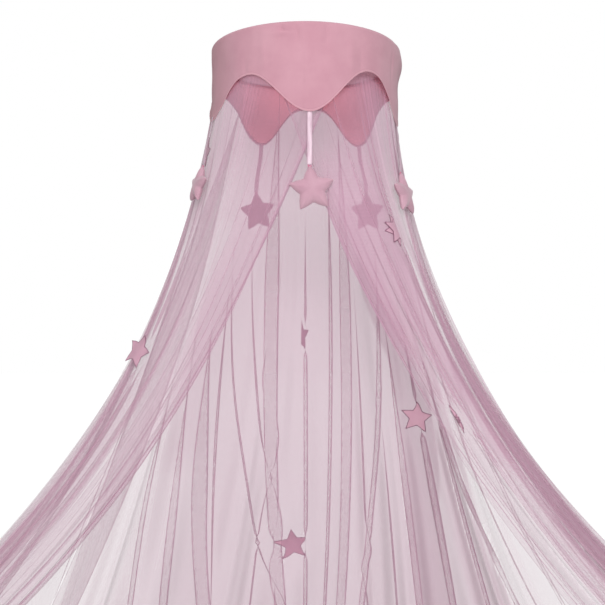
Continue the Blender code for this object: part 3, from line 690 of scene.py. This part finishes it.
RIBBON_WIDTH, RIBBON_THICK = 0.0155, 0.0005
RIBBON_SWAY, RIBBON_CUP = 0.0016, 0.0006
SLICE = 0.004  # of the solid, through whose middles the ribbon runs
RIBBON_TWIST = (7.0, -9.0, 8.0, -6.0, 10.0)  # degrees, by point
satin = new_material("pink_satin_ribbon", 0.28, IOR=1.5, Sheen_Weight=0.3, Anisotropic=0.6)
uv = add_node(satin, "ShaderNodeUVMap", uv_map="cloth")
fibres = add_node(satin, "ShaderNodeMapping", {"Vector": uv, "Scale": (900.0, 60.0, 1.0)})
grain = add_node(satin, "ShaderNodeTexNoise", {"Vector": fibres, "Scale": 1.0, "Detail": 2.0})
tone = add_node(satin, "ShaderNodeMix", {"Factor": grain, 6: linear("#bf95aa"), 7: linear("#e2c6d4")},
    data_type="RGBA", name="dye_and_painted_light")
feed(satin, "Base Color", tone.outputs[2])
bump = add_node(satin, "ShaderNodeBump", {"Height": grain, "Strength": 0.15, "Distance": 0.0003})
feed(satin, "Normal", bump)
# Painted light: the ribbons behind the back points are painted almost white, standing in for light that would
# lift them out of the shade behind the net.
back_satin_painted_light = painted_light_copy(satin, "pink_satin_painted_light_at_the_back", {("dye_and_painted_light", 6): "#fbe4ed", ("dye_and_painted_light", 7): "#fff4f9"})

for number, (name, *_) in enumerate(POINTS):
    low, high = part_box("ribbon_" + name)
    corners = np.array([v.co[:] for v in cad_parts["ribbon_" + name].data.vertices])
    route = []
    for level in sorted({round(z / SLICE) for z in corners[:, 2]}, reverse=True):
        near = corners[np.abs(corners[:, 2] - level * SLICE) < 0.0035]
        if len(near) > 3 and (not route or route[-1][2] - near[:, 2].mean() > 0.003):
            route.append(near.mean(axis=0))
    route = np.array(route)
    z = np.linspace(high[2], low[2], 34)
    line = np.stack([np.interp(-z, -route[:, 2], route[:, k]) for k in (0, 1)] + [z], axis=-1)
    for _ in range(6):
        line[1:-1, :2] = 0.25 * line[:-2, :2] + 0.5 * line[1:-1, :2] + 0.25 * line[2:, :2]
    share = (high[2] - z) / (high[2] - low[2])
    around = hoop_degrees(line)
    outward = np.stack([np.sin(np.radians(around)), -np.cos(np.radians(around)), 0 * z], axis=-1)
    free = smooth_step(0.12, 0.3, share) * smooth_step(1.0, 0.86, share)
    line = line + outward * (RIBBON_SWAY * free * np.sin(7.0 * share + number))[:, None]
    turn = np.radians(around + RIBBON_TWIST[number] * free * np.sin(2.2 * pi * share + 0.4 * number))
    side = np.stack([np.cos(turn), np.sin(turn), 0 * z], axis=-1)
    across = np.linspace(-0.5, 0.5, 7)
    cup = RIBBON_CUP * (1 - (2 * across) ** 2)
    grid = line[:, None] + side[:, None] * RIBBON_WIDTH * across[:, None] + outward[:, None] * cup[:, None]
    uv = np.stack(np.broadcast_arrays(RIBBON_WIDTH * across[None, :], z[:, None]), axis=-1)
    ribbon = cloth_piece("satin_" + name, grid, uv)
    thicken(ribbon, RIBBON_THICK)
    # the back ribbons take the satin with painted light
    ribbon.data.materials.append(back_satin_painted_light if name.startswith("back") else satin)
    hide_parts("ribbon_" + name)
    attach(ribbon, "root")

# ---- Padded stars
# Two faces of soft velour sewn together round the edge, turned and filled, each hung by one arm from its
# ribbon with a few bright stitches. The arms are slim with sunk sides, and the middle is fullest.

STAR_ARMS = 5
STAR_POINTS, STAR_RINGS = 240, 16  # round the edge, and from the edge to the middle
STAR_WAIST, STAR_BOWED, STAR_SOFTNESS = 0.54, 0.05, 0.0038
SEAM_RIDGE, SEAM_PUCKER = 0.0009, 0.0010
THREAD_RING, THREAD_THICK = 0.0042, 0.0013


def star_edge(radius, waist, bowed, count, softness):
    """Points round a five-armed star from its upper arm, its corners rounded by a softness in metres."""
    turn = np.linspace(0.0, 2 * pi, 3601)
    away = np.abs((turn + pi / STAR_ARMS) % (2 * pi / STAR_ARMS) - pi / STAR_ARMS)
    reach = radius * sin(pi / STAR_ARMS) / (np.sin(pi / STAR_ARMS - away) + np.sin(away) / waist)
    away = away * STAR_ARMS / pi
    reach = reach * (1.0 + bowed * 4.0 * away * (1.0 - away))
    corners = np.stack([reach * np.sin(turn), reach * np.cos(turn)], axis=-1)
    place = lengths(corners)
    spacing = place[-1] / count
    even = np.arange(count) * spacing
    edge = np.stack([np.interp(even, place, corners[:, k]) for k in (0, 1)], axis=-1)
    for _ in range(max(int(2 * (softness / spacing) ** 2), 1)):
        edge = 0.25 * np.roll(edge, 1, 0) + 0.5 * edge + 0.25 * np.roll(edge, -1, 0)
    return edge


def ring_faces(starts, count, flip):
    """Faces between rings of points, from the edge to the middle point. Rings are given by their first point."""
    faces = []
    for k in range(count):
        after = (k + 1) % count
        for outer, inner in zip(starts[:-1], starts[1:-1]):
            faces.append((outer + k, outer + after, inner + after, inner + k))
        faces.append((starts[-2] + k, starts[-2] + after, starts[-1]))
    return [face[::-1] for face in faces] if flip else faces


# Velour: short pile, matt with a pale bloom where it turns away, a little uneven in tone
velour = new_material("pink_velour", 0.90, IOR=1.45, Specular_IOR_Level=0.2, Sheen_Weight=0.45,
    Sheen_Roughness=0.5)
where = add_node(velour, "ShaderNodeTexCoord")
pile = add_node(velour, "ShaderNodeTexNoise", {"Vector": where.outputs["Object"], "Scale": 900.0,
    "Detail": 2.0})
drift = add_node(velour, "ShaderNodeTexNoise", {"Vector": where.outputs["Object"], "Scale": 28.0,
    "Detail": 3.0})
tone = add_node(velour, "ShaderNodeMix", {"Factor": drift, 6: linear("#c293a5"), 7: linear("#d7afbd")},
    data_type="RGBA")
feed(velour, "Base Color", tone.outputs[2])
bump = add_node(velour, "ShaderNodeBump", {"Height": pile, "Strength": 0.4, "Distance": 0.0006})
feed(velour, "Normal", bump)

thread_pink = new_material("bright_pink_thread", 0.55, IOR=1.5)
where = add_node(thread_pink, "ShaderNodeTexCoord")
twist = add_node(thread_pink, "ShaderNodeTexWave", {"Vector": where.outputs["Object"], "Scale": 260.0,
    "Distortion": 1.0}, bands_direction="DIAGONAL")
tone = add_node(thread_pink, "ShaderNodeMix", {"Factor": twist.outputs["Fac"], 6: linear("#d96a92"),
    7: linear("#f094b4")}, data_type="RGBA")
feed(thread_pink, "Base Color", tone.outputs[2])

for number, (name, *_) in enumerate(POINTS):
    corners = np.array([v.co[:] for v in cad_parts["star_" + name].data.vertices])
    centre = (corners.min(axis=0) + corners.max(axis=0)) / 2
    flat = corners - corners.mean(axis=0)
    facing = np.linalg.svd(flat, full_matrices=False)[2][2]
    facing = facing * np.sign(facing @ np.array([centre[0], centre[1], 0.0]))
    off = np.abs(flat @ facing)
    depth = 2 * off.max()
    upper = corners[np.argmax(corners[:, 2])]
    middle = corners[off > 0.9 * off.max()].mean(axis=0)
    up = upper - middle
    up = up - facing * (up @ facing)
    radius = np.linalg.norm(up)
    up = up / radius
    side = np.cross(facing, up)
    edge = star_edge(radius * 1.06, STAR_WAIST, STAR_BOWED, STAR_POINTS, STAR_SOFTNESS)
    edge = edge * radius / edge[:, 1].max()
    points = []
    scales = 1.0 - np.linspace(0.0, 1.0, STAR_RINGS + 1)[:-1] ** 1.6
    turn = np.arange(STAR_POINTS) * 2 * pi / STAR_POINTS
    wrinkles = 0.5 + 0.5 * np.sin(47 * turn + 2.0 * np.sin(3 * turn + number))
    for face_side in (1, -1):
        for ring, scale in enumerate(scales if face_side > 0 else scales[1:]):
            height = depth / 2 * (1.0 - scale ** 2.4) ** 0.62 + (SEAM_RIDGE if 0.97 < scale < 1 else 0.0)
            pucker = SEAM_PUCKER * wrinkles * scale ** 6 * (scale < 1.0)
            for (a, b), dent in zip(edge * scale, pucker):
                points.append(middle + side * a + up * b + facing * face_side * max(height - dent, 0.0))
        points.append(middle + facing * face_side * depth / 2)
    front = [ring * STAR_POINTS for ring in range(STAR_RINGS + 1)]
    back = [0] + [front[-1] + 1 + ring * STAR_POINTS for ring in range(STAR_RINGS)]
    faces = ring_faces(front, STAR_POINTS, False) + ring_faces(back, STAR_POINTS, True)
    star = mesh_piece("plush_" + name, np.array(points).tolist(), faces)
    star.data.materials.append(velour)
    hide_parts("star_" + name)
    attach(star, "root")

    # The stitches that hold the ribbon: four turns of thread over the tip of the arm
    bpy.ops.object.select_all(action="DESELECT")
    bpy.ops.mesh.primitive_torus_add(major_segments=36, minor_segments=10, major_radius=THREAD_RING,
                                     minor_radius=THREAD_THICK)
    knot = bpy.context.object
    knot.name = "stitches_" + name
    for vertex in knot.data.vertices:
        x, y, z = vertex.co
        lift = 0.0026 * sin(2.0 * atan2(y, x) + 0.6) + z * 1.3
        vertex.co = upper + side * x + facing * y * 0.55 + np.array([0.0, 0.0, lift - 0.0015])
    knot.location = (0, 0, 0)
    knot.data.materials.append(thread_pink)
    knot.data.shade_smooth()
    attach(knot, "root")

# ---- Flat stars
# Flat stars of thin pink cotton sateen, cut out and sewn on the net with a close satin stitch round the edge.
# They follow the net's folds, and two of them are folded up in its pleats.

PATCH_LIFT, PATCH_THICK = 0.0016, 0.0008
PATCH_POINTS, PATCH_RINGS = 160, 14
PATCH_WAIST, PATCH_SOFTNESS = 0.49, 0.0012
PATCH_LAYER = 0.0022  # from one folded layer to the next
SATIN_STITCH = 0.0011  # along the edge
FEEL, FALL_FEEL = 3e-4, 4e-3  # how far off the net, with and without its folds, is felt for its slope

# Cotton sateen: thin and matt, with a dark satin-stitched edge
sateen = new_material("pink_sateen", 0.75, IOR=1.45, Specular_IOR_Level=0.3, Sheen_Weight=0.2)
uv = add_node(sateen, "ShaderNodeUVMap", uv_map="cloth")
parts = add_node(sateen, "ShaderNodeSeparateXYZ", {"Vector": uv})
where = add_node(sateen, "ShaderNodeTexCoord")
blotch = add_node(sateen, "ShaderNodeTexNoise", {"Vector": where.outputs["Object"], "Scale": 40.0,
    "Detail": 3.0})
tone = add_node(sateen, "ShaderNodeMix", {"Factor": blotch, 6: linear("#cd9cb1"), 7: linear("#dcb0c1")},
    data_type="RGBA", name="dye_and_painted_light")
border = add_node(sateen, "ShaderNodeMapRange", {"Value": parts.outputs["Y"], "From Min": 0.0028,
    "From Max": 0.0018})
rows = add_node(sateen, "ShaderNodeMath", {0: parts.outputs["X"], 1: 2 * pi / SATIN_STITCH},
    operation="MULTIPLY")
rows = add_node(sateen, "ShaderNodeMath", {0: rows}, operation="SINE")
tone = add_node(sateen, "ShaderNodeMix", {"Factor": border, 6: tone.outputs[2], 7: linear("#9a647e")},
    data_type="RGBA")
feed(sateen, "Base Color", tone.outputs[2])
relief = add_node(sateen, "ShaderNodeMath", {0: rows, 1: border}, operation="MULTIPLY")
bump = add_node(sateen, "ShaderNodeBump", {"Height": relief, "Strength": 0.4, "Distance": 0.0005})
feed(sateen, "Normal", bump)
# Painted light: the single-layer stars on the back breadth are painted paler, standing in for light in the shade
# inside the net.
back_sateen_painted_light = painted_light_copy(sateen, "pink_sateen_painted_light_at_the_back", {("dye_and_painted_light", 6): "#e9b3c8", ("dye_and_painted_light", 7): "#f6c8d8"})


def fall_point(cloth, drop):
    """A point of the net without its folds."""
    x, y = net_fall(cloth, drop)
    return np.array([float(x), float(y), NET_HIGH[2] + (NET_LOW[2] - NET_HIGH[2]) * drop])


def slopes(surface, cloth, drop, step):
    """How a point of the surface moves along the cloth, and down it."""
    return ((surface(cloth + step, drop) - surface(cloth - step, drop)) / (2 * step),
            (surface(cloth, drop + step) - surface(cloth, drop - step)) / (2 * step))


for name, cloth_at, drop_at, radius, roll, _, sewn_side, layers, stands in FLAT_STARS:
    breadth = [row[0] for row in BREADTHS if row[1] <= cloth_at < row[2]][0]
    # The star's own axes on the net, as small moves of cloth and drop
    moves = np.stack(slopes(fall_point, cloth_at, drop_at, FALL_FEEL), axis=-1)
    outward = np.cross(moves[:, 0], moves[:, 1])
    outward = outward / np.linalg.norm(outward)
    outward = outward * (1 if outward[:2] @ fall_point(cloth_at, drop_at)[:2] > 0 else -1)
    level = np.array([-outward[1], outward[0], 0.0]) / hypot(outward[0], outward[1])
    upward = np.cross(outward, level)
    if layers > 1:  # a pleat's folds run down the cloth
        upward = -moves[:, 1] / np.linalg.norm(moves[:, 1])
        level = np.cross(upward, outward)
    back = np.linalg.pinv(moves)
    edge = star_edge(radius * 1.03, PATCH_WAIST, 0.0, PATCH_POINTS, PATCH_SOFTNESS)
    turn = radians(-roll)
    turned = edge @ np.array([[cos(turn), sin(turn)], [-sin(turn), cos(turn)]])
    scales = np.linspace(0.0, 1.0, PATCH_RINGS + 1)[1:]
    flat = turned[None] * scales[:, None, None]
    flat = np.concatenate([np.zeros((1, 2)), flat.reshape(-1, 2)])
    # Where the net's pleat has folded the star, it goes to and fro in layers of one width
    strip = 2.0 * radius / layers
    along = (flat[:, 0] + radius) / strip
    layer_of = np.clip(np.floor(along), 0, layers - 1)
    within = along - layer_of
    folded = np.where(layer_of % 2 == 0, within, 1.0 - within) - 0.5
    across = flat[:, 0] if layers == 1 else folded * strip
    stacked = PATCH_LAYER * (along - 0.5) * (layers > 1)
    turned_off = radius / layers + across * (1 if stands > 0 else -1)
    stacked = stacked + sin(radians(abs(stands))) * turned_off * 0.8
    flat = np.stack([across * cos(radians(stands)), flat[:, 1]], axis=-1)
    shift = (flat[:, :1] * level + flat[:, 1:] * upward) @ back.T
    cloth, drop = cloth_at + shift[:, 0], drop_at + shift[:, 1]
    here = net_surface(cloth, drop)
    normal = np.cross(*slopes(net_surface, cloth, drop, FEEL))
    normal = normal / np.linalg.norm(normal, axis=1, keepdims=True)
    normal = normal * np.sign(normal.mean(axis=0) @ outward)
    skin = here + normal * (sewn_side * (PATCH_LIFT + stacked))[..., None]
    starts = [1 + ring * PATCH_POINTS for ring in range(PATCH_RINGS)][::-1] + [0]
    patch = mesh_piece(name + "_cloth", skin.tolist(), ring_faces(starts, PATCH_POINTS, True))
    round_edge = lengths(np.concatenate([edge, edge[:1]]))
    from_edge = np.concatenate([[radius * 0.4], np.repeat((1 - scales) * radius * 0.45, PATCH_POINTS)])
    round_at = np.concatenate([[0.0], np.tile(round_edge[:-1], PATCH_RINGS)])
    layer = patch.data.uv_layers.new(name="cloth")
    order = np.zeros(len(patch.data.loops), dtype=np.int32)
    patch.data.loops.foreach_get("vertex_index", order)
    places = np.stack([round_at[order], from_edge[order]], axis=-1)
    layer.uv.foreach_set("vector", places.astype(np.float32).ravel())
    pick(patch)
    bpy.ops.object.mode_set(mode="EDIT")
    bpy.ops.mesh.select_all(action="SELECT")
    bpy.ops.mesh.normals_make_consistent(inside=False)
    bpy.ops.object.mode_set(mode="OBJECT")
    thicken(patch, PATCH_THICK)
    # single-layer stars on the back breadth take the sateen with painted light
    patch.data.materials.append(back_sateen_painted_light if breadth == "net_back" and layers == 1 else sateen)
    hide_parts(name)
    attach(patch, "root")

# ---- Studio
# A plain white studio: a white floor and surround, one soft light in front and a weaker one above. The camera
# stands level with the middle of the net, as in the photograph.

FLOOR_LEVEL = -2.45
bpy.ops.object.select_all(action="DESELECT")
bpy.ops.mesh.primitive_plane_add(size=30.0, location=(0, 0, FLOOR_LEVEL))
floor = bpy.context.object
floor.name = "studio_floor"
white = new_material("studio_white", 0.9, Base_Color=linear("#8c8c8c"), Emission_Color=(1.0, 1.0, 1.0, 1.0))
direct = add_node(white, "ShaderNodeLightPath")
glow = add_node(white, "ShaderNodeMapRange", {"Value": direct, "To Min": 0.25, "To Max": 0.88})
feed(white, "Emission Strength", glow)
floor.data.materials.append(white)

world = bpy.data.worlds.new("white_surround")
bpy.context.scene.world = world
world.use_nodes = True
surround = world.node_tree.nodes["Background"]
surround.inputs["Color"].default_value = (1.0, 1.0, 1.0, 1.0)
direct = add_node(world, "ShaderNodeLightPath")
glow = add_node(world, "ShaderNodeMapRange", {"Value": direct, "To Min": 0.42, "To Max": 1.0})
link(world, glow, surround.inputs["Strength"])

LIGHTS = (
    # name, place, aimed at, size, watts
    ("front_softbox", (0.25, -4.2, 0.4), (0.0, 0.0, -0.7), 1.8, 110.0),
    ("top_softbox", (-0.4, -1.6, 2.6), (0.0, 0.0, -0.3), 2.0, 14.0),
)
for name, place, aim, size, watts in LIGHTS:
    lamp = bpy.data.lights.new(name, "AREA")
    lamp.size, lamp.energy = size, watts
    holder = bpy.data.objects.new(name, lamp)
    holder.location = place
    holder.rotation_euler = (Vector(aim) - Vector(place)).to_track_quat("-Z", "Y").to_euler()
    bpy.context.scene.collection.objects.link(holder)

PHOTO_WIDTH, PHOTO_FOCAL = 605, 798.0  # pixels
SENSOR = 36.0  # millimetres
CAMERA_PLACE = (-0.0073, -2.6, -0.803)
CAMERA_TILT = -0.23  # degrees
camera = bpy.data.cameras.new("photo_camera")
camera.sensor_width = SENSOR
camera.lens = SENSOR * PHOTO_FOCAL / PHOTO_WIDTH
holder = bpy.data.objects.new("photo_camera", camera)
holder.location = CAMERA_PLACE
holder.rotation_euler = (radians(90.0 + CAMERA_TILT), 0.0, 0.0)
bpy.context.scene.collection.objects.link(holder)
bpy.context.scene.camera = holder
bpy.context.scene.view_settings.view_transform = "Standard"
if hasattr(bpy.context.scene, "cycles"):
    bpy.context.scene.cycles.transparent_max_bounces = 48
